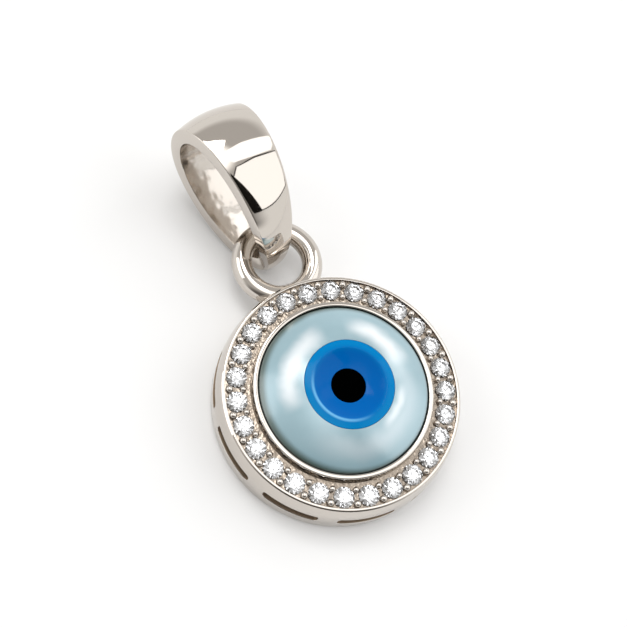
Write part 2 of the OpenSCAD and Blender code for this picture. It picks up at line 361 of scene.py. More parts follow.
def add_node(tree, kind, *values, out=None, **named):
    """Adds a shader node. Names in small letters are its settings and other names are its sockets.
    Values without a name fill its sockets in order. Gives the named output, or the first in use."""
    node = tree.nodes.new("ShaderNode" + kind)
    for name, value in named.items():
        if name.islower():
            setattr(node, name, value)
    filled = list(zip([socket for socket in node.inputs if socket.enabled], values))
    filled += [(node.inputs[name.replace("_", " ")], value)
               for name, value in named.items() if not name.islower()]
    for socket, value in filled:
        if isinstance(value, bpy.types.NodeSocket):
            tree.links.new(value, socket)
        else:
            socket.default_value = value
    outputs = [socket for socket in node.outputs if socket.enabled and out in (None, socket.name)]
    return outputs[0] if outputs else None


def new_material(name):
    """An empty node material and its tree."""
    material = bpy.data.materials.new(name)
    material.use_nodes = True
    material.node_tree.nodes.clear()
    return material, material.node_tree


def rgba(colour):
    """A colour with full alpha."""
    return (*colour, 1)


# Painted sheens: painted highlights laid on the shell as pale arcs round the eye. Each has its
# turn in degrees from the top, its distance from the eye's middle, half its width, half its angle
# and how strongly it shows.
PAINTED_SHEENS = (
    {"turn": -65, "radius": 3.45 * MM, "width": 0.8 * MM, "angle": 32, "strength": 0.8},
    {"turn": -33, "radius": 3.4 * MM, "width": 0.9 * MM, "angle": 36, "strength": 0.8},
    {"turn": 56, "radius": 3.5 * MM, "width": 0.95 * MM, "angle": 38, "strength": 0.9},
    {"turn": 85, "radius": 3.3 * MM, "width": 0.9 * MM, "angle": 55, "strength": 0.2},
    {"turn": 138, "radius": 3.0 * MM, "width": 0.42 * MM, "angle": 30, "strength": 0.6},
    {"turn": 175, "radius": 3.6 * MM, "width": 1.0 * MM, "angle": 75, "strength": 0.3},
)
# Size of the faint clouds in the shell, and how far they bend its painted sheens
NACRE_CLOUD = 1.6 * MM
PAINTED_SHEEN_BEND = 0.7 * MM
# Painted shade: width and middle of the shell's darkening at its girdle and of the line in its seat
NACRE_SHADE = 0.4 * MM
NACRE_SHADE_MIDDLE = (0.14 * MM, -0.06 * MM)
NACRE_SEAT = 0.12 * MM
NACRE_SEAT_MIDDLE = (0, 0)
# The painted glint along the edge of the iris's shoulder: a painted highlight, described as the
# sheens are
PAINTED_GLINT = {"turn": -118, "radius": 2.16 * MM, "width": 0.14 * MM, "angle": 80, "strength": 0.7}
# How softly the iris's two blues meet
SHOULDER_BLUR = 0.3 * MM


def silver(name, colour, roughness, grain, height):
    """Rhodium-plated silver with a grain of a real size."""
    material, tree = new_material(name)
    place = add_node(tree, "TexCoord", out="Object")
    noise = add_node(tree, "TexNoise", place, Scale=1 / grain, Detail=1.0)
    bump = add_node(tree, "Bump", Strength=1.0, Distance=height, Height=noise)
    shader = add_node(tree, "BsdfPrincipled", Base_Color=rgba(colour), Metallic=1.0,
                      Roughness=roughness, Normal=bump)
    add_node(tree, "OutputMaterial", shader)
    return material


def polished_silver(finish):
    """Mirror polished: sharp reflections, with the faint waves that a polishing wheel leaves."""
    return silver("polished_silver", finish.metal, 0.05, grain=2.8 * MM, height=0.002 * MM)


def tumbled_silver(finish):
    """Polished in a barrel alone, where no wheel reaches: bright, but blurred and wavy."""
    return silver("tumbled_silver", finish.metal, 0.16, grain=0.8 * MM, height=0.05 * MM)


def cut_silver(finish):
    """Cut with a graver: a satin shine, broken up by the tool's marks."""
    return silver("graver_cut_silver", finish.cut_metal, 0.25, grain=0.25 * MM, height=0.06 * MM)


def cast_silver(finish):
    """As cast and never polished: dull and brownish. Its grain is drawn coarser than the real one,
    which is about 0.04 mm, so that it shows."""
    return silver("as_cast_silver", finish.cast_metal, 0.6, grain=0.1 * MM, height=0.01 * MM)


def offset_from(tree, centre):
    """The offset from an upright axis."""
    place = add_node(tree, "TexCoord", out="Object")
    offset = add_node(tree, "VectorMath", place, (*centre, 0), operation="SUBTRACT")
    return add_node(tree, "VectorMath", offset, (1, 1, 0), operation="MULTIPLY")


def distance_from(tree, centre):
    """The distance from an upright axis."""
    return add_node(tree, "VectorMath", offset_from(tree, centre), operation="LENGTH")


def with_painted_highlight(tree, colour, pale, offset, radius, row):
    """A colour with one painted highlight laid over it. It fades along its arc and across it."""
    turn = math.radians(row["turn"])
    way = add_node(tree, "VectorMath", offset, operation="NORMALIZE")
    along = add_node(tree, "VectorMath", way, (math.sin(turn), math.cos(turn), 0),
                     operation="DOT_PRODUCT")
    off = add_node(tree, "Math", radius, row["radius"], operation="SUBTRACT")
    across = add_node(tree, "Math", off, operation="ABSOLUTE")
    length = add_node(tree, "MapRange", along, math.cos(math.radians(row["angle"])), 1.0,
                      interpolation_type="SMOOTHSTEP")
    width = add_node(tree, "MapRange", across, 0.0, row["width"], row["strength"], 0.0,
                     interpolation_type="SMOOTHSTEP")
    share = add_node(tree, "Math", length, width, operation="MULTIPLY")
    return add_node(tree, "Mix", share, colour, rgba(pale), data_type="RGBA")


def nacre(finish, dome_r, eye):
    """Mother-of-pearl, ground to a dome and polished: painted sheens (painted highlights) that
    follow the dome, and painted shade at its girdle and seat, over faint clouds, under a clear
    gloss."""
    material, tree = new_material("polished_mother_of_pearl")
    place = add_node(tree, "TexCoord", out="Object")
    clouds = add_node(tree, "TexNoise", place, Scale=1 / NACRE_CLOUD, Detail=2.0)
    colour = add_node(tree, "Mix", clouds, rgba(finish.shell), rgba(finish.shell_light),
                      data_type="RGBA")
    bend = add_node(tree, "Math", clouds, PAINTED_SHEEN_BEND, -PAINTED_SHEEN_BEND / 2, operation="MULTIPLY_ADD")
    radius = add_node(tree, "Math", distance_from(tree, eye), bend, operation="ADD")
    offset = offset_from(tree, eye)
    # Painted highlights: pale arcs laid over the shell's colour
    for row in PAINTED_SHEENS:
        colour = with_painted_highlight(tree, colour, finish.shell_painted_sheen, offset, radius, row)
    # Painted shade: darkening towards the girdle and a dark line in the seat
    for centre, width, shade in ((NACRE_SHADE_MIDDLE, NACRE_SHADE, finish.shell_painted_shade),
                                 (NACRE_SEAT_MIDDLE, NACRE_SEAT, finish.shell_painted_seat_shade)):
        dip = add_node(tree, "MapRange", distance_from(tree, centre), dome_r - width, dome_r,
                       interpolation_type="SMOOTHSTEP")
        colour = add_node(tree, "Mix", dip, colour, rgba(shade), data_type="RGBA")
    shader = add_node(tree, "BsdfPrincipled", Base_Color=colour, Metallic=0.2, Roughness=0.33,
                      IOR=1.6, Coat_Weight=1.0, Coat_IOR=1.75, Coat_Roughness=0.18)
    add_node(tree, "OutputMaterial", shader)
    return material


def blue_glass(finish, centre, dish_r):
    """Blue glass, ground and polished: deep in its dish, paler on its shoulder, with a painted
    glint, a painted highlight, along the edge between them."""
    material, tree = new_material("blue_glass")
    radius = distance_from(tree, centre)
    rise = add_node(tree, "MapRange", radius, dish_r - SHOULDER_BLUR, dish_r + SHOULDER_BLUR,
                    interpolation_type="SMOOTHSTEP")
    colour = add_node(tree, "Mix", rise, rgba(finish.iris), rgba(finish.iris_shoulder),
                      data_type="RGBA")
    # Painted highlight: a pale glint laid along the edge of the shoulder
    colour = with_painted_highlight(tree, colour, finish.iris_painted_glint, offset_from(tree, centre), radius, PAINTED_GLINT)
    shader = add_node(tree, "BsdfPrincipled", Base_Color=colour, Roughness=0.12,
                      Specular_IOR_Level=0.06)
    add_node(tree, "OutputMaterial", shader)
    return material


def plain_material(name, **sockets):
    """A material that is the same all over, which its sockets describe."""
    material, tree = new_material(name)
    shader = add_node(tree, "BsdfPrincipled", **sockets)
    add_node(tree, "OutputMaterial", shader)
    return material


def black_glass(finish):
    """Black glass, ground to a soft satin: it swallows nearly all the light."""
    return plain_material("black_glass", Base_Color=rgba(finish.pupil), Roughness=0.5,
                          Specular_IOR_Level=0.0)


def cut_stone(finish):
    """Cubic zirconia, faceted and polished: clear, with bright and dark facets."""
    return plain_material("cubic_zirconia", Base_Color=rgba(finish.stone), Roughness=0.0, IOR=2.15,
                          Transmission_Weight=1.0)


def floor_paper():
    """Matt white paper: it shows soft shadows and no shine."""
    return plain_material("matt_white_paper", Base_Color=rgba(linear("ECECEC")), Roughness=0.9,
                          Specular_IOR_Level=0.0)


def black_cloth():
    """Black cloth, as on a softbox: it shows as dark edges in the polished metal."""
    return plain_material("black_cloth", Base_Color=rgba(linear("1C1A18")), Roughness=1.0,
                          Specular_IOR_Level=0.0)


def glowing_cloth(light):
    """White diffusion cloth, lit evenly from behind: it shows as bright panels in the metal."""
    material, tree = new_material("lit_diffusion_cloth")
    shader = add_node(tree, "Emission", Strength=light)
    add_node(tree, "OutputMaterial", shader)
    return material


# Heights between which each part of the room fades, as sines: the horizon's glow goes, the unlit
# side comes, and the ceiling comes
HORIZON_FADE = (math.sin(math.radians(18)), math.sin(math.radians(34)))
FRONT_RISE = (math.sin(math.radians(7)), math.sin(math.radians(16)))
CEILING_FADE = (math.sin(math.radians(66)), math.sin(math.radians(82)))
# How squarely a wall faces the middle of the unlit side where that side starts and where it is full
FRONT_FADE = (0.35, 0.8)
# Strength of the horizon's and the ceiling's light, where the walls have 1
HORIZON_LIGHT = 1.18
CEILING_LIGHT = 2.4


def room(studio):
    """The studio's walls: pale behind the pendant, unlit in front of it and bright overhead."""
    world = bpy.data.worlds.new("studio_room")
    world.use_nodes = True
    tree = world.node_tree
    tree.nodes.clear()
    way = add_node(tree, "TexCoord", out="Generated")
    height = add_node(tree, "SeparateXYZ", way, out="Z")
    front_way = (math.sin(studio.front_turn), -math.cos(studio.front_turn), 0)
    ahead = add_node(tree, "VectorMath", way, front_way, operation="DOT_PRODUCT")
    facing = add_node(tree, "MapRange", ahead, *FRONT_FADE, interpolation_type="SMOOTHSTEP")
    raised = add_node(tree, "MapRange", height, *FRONT_RISE, interpolation_type="SMOOTHSTEP")
    unlit = add_node(tree, "Math", facing, raised, operation="MULTIPLY")
    above = add_node(tree, "MapRange", height, *HORIZON_FADE, interpolation_type="SMOOTHSTEP")
    overhead = add_node(tree, "MapRange", height, *CEILING_FADE, interpolation_type="SMOOTHSTEP")
    colour = rgba(studio.horizon)
    for share, tone in ((above, studio.room), (unlit, studio.front), (overhead, studio.ceiling)):
        colour = add_node(tree, "Mix", share, colour, rgba(tone), data_type="RGBA")
    low = add_node(tree, "MapRange", above, To_Min=HORIZON_LIGHT, To_Max=1.0)
    high = add_node(tree, "MapRange", overhead, To_Min=1.0, To_Max=CEILING_LIGHT)
    strength = add_node(tree, "Math", low, high, operation="MULTIPLY")
    light = add_node(tree, "Background", colour, strength)
    add_node(tree, "OutputWorld", light)
    return world


def rounded(corners, steps=3):
    """A line through corners (x, y, radius), with each corner that has a radius rounded off."""
    line = []
    for k, (x, y, radius) in enumerate(corners):
        corner = Vector((x, y))
        if not radius or k in (0, len(corners) - 1):
            line.append(corner)
            continue
        back = (Vector(corners[k - 1][:2]) - corner).normalized()
        ahead = (Vector(corners[k + 1][:2]) - corner).normalized()
        reach = radius / math.tan(back.angle(ahead) / 2)
        start, end = corner + back * reach, corner + ahead * reach
        for step in range(steps + 1):
            t = step / steps
            line.append(start.lerp(corner, t).lerp(corner.lerp(end, t), t))
    return line


def turned(angle, radius, height):
    """The point at an angle clockwise from the top."""
    return Vector((radius * math.sin(angle), radius * math.cos(angle), height))


def web(bm, rows, closed=True, finish=POLISHED):
    """Quads between each row of points and the next. Points that agree are welded later."""
    loops = [[bm.verts.new(point) for point in row] for row in rows]
    count = len(loops[0])
    for near, far in zip(loops, loops[1:]):
        for i in range(count if closed else count - 1):
            j = (i + 1) % count
            bm.faces.new((near[i], near[j], far[j], far[i])).material_index = finish


def circle(radius, height, count, start=0.0):
    """Points round the axis."""
    return [turned(start + 2 * math.pi * i / count, radius, height) for i in range(count)]


def lathe(bm, line, count, start=0.0, finish=POLISHED):
    """Turns a line of (radius, height) round the axis."""
    web(bm, [circle(radius, height, count, start) for radius, height in line], finish=finish)


def ball(bm, centre, radius, around=20, up=12):
    """A round bead."""
    rows = []
    for i in range(up + 1):
        rise = math.pi * (i / up - 0.5)
        row = circle(radius * math.cos(rise), radius * math.sin(rise), around)
        rows.append([centre + p for p in row])
    web(bm, rows)


def frame_outline(low, high, across, up):
    """Points round a rectangle, with so many steps along each side."""
    width, height = high[0] - low[0], high[1] - low[1]
    bottom = [Vector((low[0] + width * i / across, low[1])) for i in range(across)]
    right = [Vector((high[0], low[1] + height * i / up)) for i in range(up)]
    top = [Vector((high[0] - width * i / across, high[1])) for i in range(across)]
    left = [Vector((low[0], high[1] - height * i / up)) for i in range(up)]
    return bottom + right + top + left


def nearest_round(point, core, radius):
    """The nearest point to a point on a rounded rectangle, which lies a radius outside its core."""
    inner = Vector((min(max(point.x, -core[0]), core[0]), min(max(point.y, -core[1]), core[1])))
    return inner + (point - inner).normalized() * radius


# Points that lie this close are one point
WELD = 1e-4 * MM
# Edges that turn by more than this stay sharp
SHARP = math.radians(35)


def make_piece(name, bm, materials, node):
    """Makes a piece of the pendant from a mesh, in place of a node of the frame."""
    bmesh.ops.remove_doubles(bm, verts=bm.verts, dist=WELD)
    bmesh.ops.recalc_face_normals(bm, faces=bm.faces)
    mesh = bpy.data.meshes.new(name)
    bm.to_mesh(mesh)
    bm.free()
    for material in materials:
        mesh.materials.append(material)
    mesh.shade_smooth()
    mesh.set_sharp_from_angle(angle=SHARP)
    piece = bpy.data.objects.new(name, mesh)
    bpy.context.scene.collection.objects.link(piece)
    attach(piece, BODY)
    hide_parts(node)


# Places for slots round the wall, and how far the band that holds them reaches past the slots
SLOT_PLACES = 10
BAND_BELOW = 0.4 * MM
BAND_ABOVE = 0.25 * MM
# Steps of the mesh: up the wall, up the sides of a slot or seat, round an edge, round the ring and
# round its wire
WALL_STEPS = 12
SIDE_STEPS = 8
EDGE_STEPS = 6
RING_STEPS = 96
WIRE_STEPS = 32
# Where loops of the mesh lie between the edge of a slot's place and the slot, as shares of the way
SLOT_LOOPS = (0.35, 0.7)
# How deep the ring's wire may reach into the wall, as a share of the wall's thickness
RING_BURIED = 0.6


class SettingPlan:
    """Sizes and places of the setting, from its named sizes and the frame"""

    def __init__(self, sizes):
        self.sizes = sizes
        self.axes = [stone_axis(name) for name in STONES]
        self.stone_r = stone_radius(STONES[0])
        self.halo_r = self.axes[0].xy.length
        self.foot_r = half_width("setting")
        self.dome_r = half_width("cabochon")
        self.seat_r = self.dome_r + SEAT_GAP
        self.channel_r0 = self.seat_r + sizes.bezel
        self.channel_r1 = self.halo_r + self.stone_r + sizes.rim_gap
        self.rim_r = self.channel_r1 + sizes.rim_width
        self.hollow_r = self.foot_r - sizes.wall
        self.bezel_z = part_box("setting")[1].z
        self.floor_z = sizes.rim_height - sizes.channel
        self.under_z = self.floor_z - sizes.floor
        self.ledge_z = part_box("cabochon")[0].z - SEAT_GAP
        self.band_low = sizes.slot_low - BAND_BELOW
        self.band_high = sizes.slot_low + sizes.slot_height + BAND_ABOVE
        # The stones and the slots each have their own pitch, and one count of points suits both.
        self.count = len(STONES) * SLOT_PLACES * 2
        self.pitch = 2 * math.pi / len(STONES)
        self.stone_start = math.atan2(self.axes[0].x, self.axes[0].y) - self.pitch / 2
        self.place = 2 * math.pi / SLOT_PLACES
        self.slot_start = sizes.slot_turn - self.place / 2
        self.ring_r = (sizes.ring_wire + sizes.ring_hole) / 2
        self.ring_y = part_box("setting")[1].y - self.ring_r - sizes.ring_wire / 2

    def wall_r(self, z):
        """The wall's outside radius at a height."""
        s = self.sizes
        lean = max(0, (z - s.swell_start) / (s.rim_height - s.swell_start))
        return self.foot_r - (self.foot_r - self.rim_r) * lean ** s.swell_power

    def outside(self, turn, x, z, sunk=0.0):
        """A point on the outside of the wall, so far along it from a turn."""
        return turned(turn + x / self.foot_r, self.wall_r(z) - sunk, z)

    def inside(self, turn, x, z):
        """A point on the inside of the wall, so far along it from a turn."""
        return turned(turn + x / self.foot_r, self.hollow_r, z)

    def has_slot(self, turn):
        """Whether a place for a slot is clear of the ring."""
        outer = self.ring_r + self.sizes.ring_wire / 2
        meet = (self.ring_y ** 2 + self.foot_r ** 2 - outer ** 2) / 2 / self.ring_y
        ring_half = math.acos(meet / self.foot_r)
        off = abs((turn + math.pi) % (2 * math.pi) - math.pi)
        return off > self.sizes.slot_length / 2 / self.foot_r + ring_half


def add_back(bm, plan):
    """The flat back with its rounded edge, up to the slots, and the inside of the back."""
    s = plan.sizes
    corners = [(0, 0, 0), (plan.foot_r, 0, s.foot_edge), (plan.foot_r, plan.band_low, 0)]
    lathe(bm, rounded(corners), plan.count, plan.slot_start)
    lathe(bm, [(0, s.back), (plan.hollow_r, s.back), (plan.hollow_r, plan.band_low)], plan.count,
          plan.slot_start, CAST)


def add_rim(bm, plan):
    """The wall above the slots, the bevelled rim and the side of the channel."""
    s = plan.sizes
    top = s.rim_height - s.rim_bevel
    step = (top - plan.band_high) / WALL_STEPS
    wall = [(plan.wall_r(z), z) for z in (plan.band_high + step * k for k in range(WALL_STEPS + 1))]
    flat = rounded([(*wall[-1], 0), (plan.rim_r - s.rim_bevel, s.rim_height, s.edge),
                    (plan.channel_r1, s.rim_height, s.edge), (plan.channel_r1, plan.floor_z, 0)])
    lathe(bm, wall, plan.count, plan.slot_start)
    rows = [circle(*wall[-1], plan.count, plan.slot_start)]
    rows += [circle(*point, plan.count, plan.slot_start) for point in flat[1:-1]]
    rows.append(circle(*flat[-1], plan.count, plan.stone_start))
    web(bm, rows)
    web(bm, [circle(plan.hollow_r, plan.band_high, plan.count, plan.slot_start),
             circle(plan.hollow_r, plan.under_z, plan.count, plan.stone_start)], finish=CAST)


def add_bezel(bm, plan):
    """The wall round the dome, the ledge under the dome and the side of the gallery."""
    s = plan.sizes
    ledge_r = plan.dome_r - s.ledge_width
    bezel = rounded([
        (plan.channel_r0 + s.bezel_spread, plan.floor_z, 0),
        (plan.channel_r0 - s.bezel_spread, plan.bezel_z, s.bezel_edge),
        (plan.seat_r, plan.bezel_z, s.bezel_edge),
        (plan.seat_r, plan.ledge_z, 0),
    ], EDGE_STEPS)
    lathe(bm, bezel, plan.count, plan.stone_start)
    gallery = [(plan.seat_r, plan.ledge_z), (ledge_r, plan.ledge_z),
               (ledge_r, plan.ledge_z - s.ledge), (plan.channel_r0, plan.ledge_z - s.ledge),
               (plan.channel_r0, plan.under_z)]
    lathe(bm, gallery, plan.count, plan.stone_start, CAST)


def add_channel_floor(bm, plan):
    """The channel floor, with a drilled seat for each stone, and its underside."""
    s = plan.sizes
    hole_r = plan.stone_r * s.seat_share
    for k, axis in enumerate(plan.axes):
        turn = plan.stone_start + (k + 0.5) * plan.pitch
        rows = []
        for low_r, high_r, height in (
                (plan.channel_r0 + s.bezel_spread, plan.channel_r1, plan.floor_z),
                (plan.channel_r0, plan.hollow_r, plan.under_z)):
            sector = frame_outline((-plan.pitch / 2, low_r), (plan.pitch / 2, high_r),
                                   SLOT_PLACES * 2, SIDE_STEPS)
            outer = [turned(turn + p.x, p.y, height) for p in sector]
            hole = [(p.xy - axis.xy).normalized() * hole_r + axis.xy for p in outer]
            rows += [outer, [Vector((*p, height)) for p in hole]]
        top, top_hole, low, low_hole = rows
        web(bm, [top, top_hole], finish=CUT)
        web(bm, [top_hole, low_hole, low], finish=CAST)


def add_slots(bm, plan):
    """The band of the wall that holds the slots. Next to the ring it stays whole."""
    s = plan.sizes
    half = plan.place / 2 * plan.foot_r
    steps = plan.count // SLOT_PLACES
    mid_z = s.slot_low + s.slot_height / 2
    core = (s.slot_length / 2 - s.slot_corner, s.slot_height / 2 - s.slot_corner)
    outline = frame_outline((-half, plan.band_low - mid_z), (half, plan.band_high - mid_z),
                            steps, SIDE_STEPS)
    hole = [nearest_round(p, core, s.slot_corner) for p in outline]
    lip = [nearest_round(p, core, s.slot_corner + s.edge) for p in outline]
    between = [[p.lerp(q, share) for p, q in zip(outline, lip)] for share in SLOT_LOOPS]
    for k in range(SLOT_PLACES):
        turn = s.slot_turn + k * plan.place
        if plan.has_slot(turn):
            outside = [[plan.outside(turn, p.x, mid_z + p.y) for p in row]
                       for row in (outline, *between, lip)]
            inside = [[plan.inside(turn, p.x, mid_z + p.y) for p in row] for row in (hole, outline)]
            edge = [plan.outside(turn, p.x, mid_z + p.y, s.edge) for p in hole]
            web(bm, outside + [edge])
            web(bm, [edge] + inside, finish=CAST)
        else:
            xs = [half * (2 * i / steps - 1) for i in range(steps + 1)]
            height = plan.band_high - plan.band_low
            zs = [plan.band_low + height * j / SIDE_STEPS for j in range(SIDE_STEPS + 1)]
            web(bm, [[plan.outside(turn, x, z) for x in xs] for z in zs], closed=False)
            web(bm, [[plan.inside(turn, x, z) for x in xs] for z in zs], closed=False, finish=CAST)


def add_beads(bm, plan):
    """A pair of bead prongs between each two stones."""
    s = plan.sizes
    half_chord = plan.halo_r * math.sin(plan.pitch / 2)
    mid_r = plan.halo_r * math.cos(plan.pitch / 2)
    for k in range(len(STONES)):
        turn = plan.stone_start + (k + 1) * plan.pitch
        for radius, side in ((s.outer_bead, 1), (s.inner_bead, -1)):
            reach = math.sqrt((plan.stone_r + radius + s.bead_gap) ** 2 - half_chord ** 2)
            ball(bm, turned(turn, mid_r + side * reach, plan.floor_z + s.bead_rise), radius)


def add_ring(bm, plan):
    """The fixed ring. What is buried in the wall stays inside the wall's thickness."""
    s = plan.sizes
    limit = plan.foot_r - s.wall * RING_BURIED
    wire_r = s.ring_wire / 2
    rows = []
    for i in range(RING_STEPS + 1):
        turn = 2 * math.pi * i / RING_STEPS
        row = []
        for j in range(WIRE_STEPS):
            b = 2 * math.pi * j / WIRE_STEPS
            point = turned(turn, plan.ring_r + wire_r * math.cos(b), wire_r * math.sin(b))
            point += Vector((0, plan.ring_y, s.ring_height))
            if point.xy.length < limit:
                point.xy = point.xy.normalized() * limit
            row.append(point)
        rows.append(row)
    web(bm, rows)


class PENDANT_OT_setting(bpy.types.Operator):
    """Build the metal setting: slotted wall, rim, channel, beads, bezel and fixed ring"""

    bl_idname = "pendant.setting"
    bl_label = "Setting"

    def execute(self, context):
        plan = SettingPlan(context.scene.pendant_setting)
        finish = context.scene.pendant_finish
        bm = bmesh.new()
        for add in (add_back, add_rim, add_bezel, add_channel_floor, add_slots, add_beads,
                    add_ring):
            add(bm, plan)
        materials = [polished_silver(finish), cut_silver(finish), cast_silver(finish)]
        make_piece("setting_metal", bm, materials, "setting")
        return {"FINISHED"}


# The finish of the bail's inside, in the order of its material slots
TUMBLED = 1
# Steps of the mesh: round the bail and across the crown of its band
BAIL_STEPS = 180
CROWN_STEPS = 20


class BailPlan:
    """The bail's outline and the section of its band, before it is laid down"""

    def __init__(self, sizes):
        self.sizes = sizes

    def outline(self, u):
        """The outline's point and outward normal, in its own plane."""
        s = self.sizes
        half = s.length / 2
        depth, swell = (s.front, s.front_swell) if math.sin(u) >= 0 else (s.back, s.back_swell)
        point = Vector((half * math.cos(u), depth * math.sin(u) * (1 + swell * math.cos(u))))
        slope = depth * (math.cos(u) * (1 + swell * math.cos(u)) - swell * math.sin(u) ** 2)
        return point, Vector((slope, half * math.sin(u))).normalized()

    def section(self, u):
        """The band's section, as points (width, height above the outline)."""
        s = self.sizes
        half = (s.foot + (s.head - s.foot) * ((1 + math.cos(u)) / 2) ** s.taper) / 2
        rise = s.crown * half / (s.head / 2)
        widths = [half * (2 * k / CROWN_STEPS - 1) for k in range(1, CROWN_STEPS)]
        corners = [(0, -s.band, 0), (-half, -s.band, s.edge), (-half, 0, s.edge)]
        corners += [(w, rise * (1 - (w / half) ** 2), 0) for w in widths]
        corners += [(half, 0, s.edge), (half, -s.band, s.edge), (0, -s.band, 0)]
        return rounded(corners)[:-1]

    def loop(self, u):
        """One loop of points round the band."""
        point, normal = self.outline(u)
        return [Vector((w, *(point + normal * h))) for w, h in self.section(u)]

    def lie(self):
        """How the bail lies: turned, pitched up and rolled."""
        s = self.sizes
        return (Matrix.Rotation(s.yaw, 4, "Z") @ Matrix.Rotation(s.pitch, 4, "X")
                @ Matrix.Rotation(s.roll, 4, "Y"))


class PENDANT_OT_bail(bpy.types.Operator):
    """Build the tapered bail, laid where the frame has it"""

    bl_idname = "pendant.bail"
    bl_label = "Bail"

    def execute(self, context):
        plan = BailPlan(context.scene.pendant_bail)
        lie = plan.lie()
        turns = [2 * math.pi * k / BAIL_STEPS for k in range(BAIL_STEPS + 1)]
        rows = [[lie @ p for p in plan.loop(u)] for u in turns]
        low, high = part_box("bail")
        shift = Vector()
        for i in range(3):
            reach = [p[i] for row in rows for p in row]
            shift[i] = (low[i] + high[i] - min(reach) - max(reach)) / 2
        bm = bmesh.new()
        rows = [[p + shift for p in row] for row in rows]
        web(bm, [row[1:] for row in rows], closed=False)
        web(bm, [[row[-1], row[0], row[1]] for row in rows], closed=False, finish=TUMBLED)
        finish = context.scene.pendant_finish
        materials = [bpy.data.materials["polished_silver"], tumbled_silver(finish)]
        make_piece("bail_metal", bm, materials, "bail")
        return {"FINISHED"}


# Width of the dome's slope that dips to its girdle, and steps of the mesh across the dome
DIP = 0.5 * MM
DOME_STEPS = 24
# How far the points of a curve stay from a rounded edge, in radii of that edge
CLEAR = 3
# How full the edge between the iris's shoulder and its dish is, as a share of its named radius
SHOULDER_FULL = 0.9


class DomePlan:
    """Sizes and places of the dome and its inlays, from their named sizes and the frame"""

    def __init__(self, sizes):
        self.sizes = sizes
        self.eye = middle("iris")
        self.dome_r = half_width("cabochon")
        self.iris_r = half_width("iris") + SEAT_GAP
        self.pupil_r = half_width("pupil") + SEAT_GAP
        self.low_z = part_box("cabochon")[0].z
        self.dome_z = self.low_z + sizes.girdle
        self.ball = (self.dome_r ** 2 + sizes.rise ** 2) / 2 / sizes.rise
        self.ball_z = self.dome_z + sizes.rise - self.ball
        self.dish_r = self.iris_r - sizes.shoulder
        self.dish_z = self.top(self.dish_r) - sizes.dish
        self.dish_ball = (self.dish_r ** 2 + sizes.dish ** 2) / 2 / sizes.dish
        self.iris_low = self.top(self.iris_r) - sizes.iris_depth
        self.pocket = self.dish_z - sizes.pupil_depth

    def top(self, r):
        """The height of the dome's round at a distance from the dome's middle."""
        return self.ball_z + math.sqrt(self.ball ** 2 - r ** 2)

    def dish(self, r):
        """The height of the iris's dish at a distance from the eye's middle."""
        return self.dish_z + self.dish_ball - math.sqrt(self.dish_ball ** 2 - r ** 2)

    def ring(self, radius, height, off, follow):
        """A ring of points. It is moved towards the eye's middle by a share of the way, and follows
        the slope of the dome by another."""
        row = []
        for point in circle(radius, height, AROUND):
            point.xy = point.xy + self.eye * off
            point.z += follow * (self.top(point.xy.length) - self.top(radius))
            row.append(point)
        return row


def arc(start, end, steps, height):
    """Points along a curve from one radius to another."""
    radii = [start + (end - start) * k / steps for k in range(steps + 1)]
    return [(r, height(r), 0) for r in radii]


def add_shell(bm, plan):
    """The dome with its round pocket for the iris."""
    s = plan.sizes
    corners = [(0, plan.iris_low, 0), (plan.iris_r, plan.iris_low, 0),
               (plan.iris_r, plan.top(plan.iris_r), s.inlay_edge)]
    corners += arc(plan.iris_r + CLEAR * s.inlay_edge, plan.dome_r - DIP, DOME_STEPS, plan.top)
    corners += [(plan.dome_r, plan.dome_z, s.edge), (plan.dome_r, plan.low_z, s.inlay_edge),
                (0, plan.low_z, 0)]
    rows = []
    for r, z in rounded(corners, EDGE_STEPS):
        off = max(0, min(1, (plan.dome_r - DIP - r) / (plan.dome_r - DIP - plan.iris_r)))
        inside = z < plan.dome_z and r < plan.iris_r + s.inlay_edge
        low = z <= plan.low_z + s.inlay_edge
        rows.append(plan.ring(r, z, 0 if low else off, 0 if inside else 1))
    web(bm, rows)


def add_iris(bm, plan):
    """The iris: a shoulder flush with the dome, a dish, and a round pocket for the pupil."""
    s = plan.sizes
    edge, turn = s.inlay_edge, s.shoulder_edge
    rim = plan.iris_r - SEAT_GAP
    corners = [(0, plan.pocket, 0), (plan.pupil_r, plan.pocket, 0),
               (plan.pupil_r, plan.dish(plan.pupil_r), edge)]
    corners += arc(plan.pupil_r + CLEAR * edge, plan.dish_r - turn, DOME_STEPS, plan.dish)
    corners += [(plan.dish_r, plan.top(plan.dish_r), turn * SHOULDER_FULL)]
    corners += arc(plan.dish_r + turn, rim - CLEAR * edge, DOME_STEPS // 4, plan.top)
    corners += [(rim, plan.top(rim), edge), (rim, plan.iris_low + SEAT_GAP, 0),
                (0, plan.iris_low + SEAT_GAP, 0)]
    rows = []
    for r, z in rounded(corners, EDGE_STEPS):
        follow = max(0, min(1, (r - plan.dish_r + turn) / (2 * turn)))
        rows.append(plan.ring(r, z, 1, follow if z > plan.dish_z else 0))
    web(bm, rows)


def add_pupil(bm, plan):
    """The pupil: its top carries on the iris's dish."""
    edge = plan.sizes.inlay_edge
    rim = plan.pupil_r - SEAT_GAP
    low = plan.pocket + SEAT_GAP
    corners = [(0, low, 0), (rim, low, 0), (rim, plan.dish(rim), edge)]
    corners += arc(rim - CLEAR * edge, 0, DOME_STEPS // 2, plan.dish)
    web(bm, [plan.ring(r, z, 1, 0) for r, z in rounded(corners, EDGE_STEPS)])


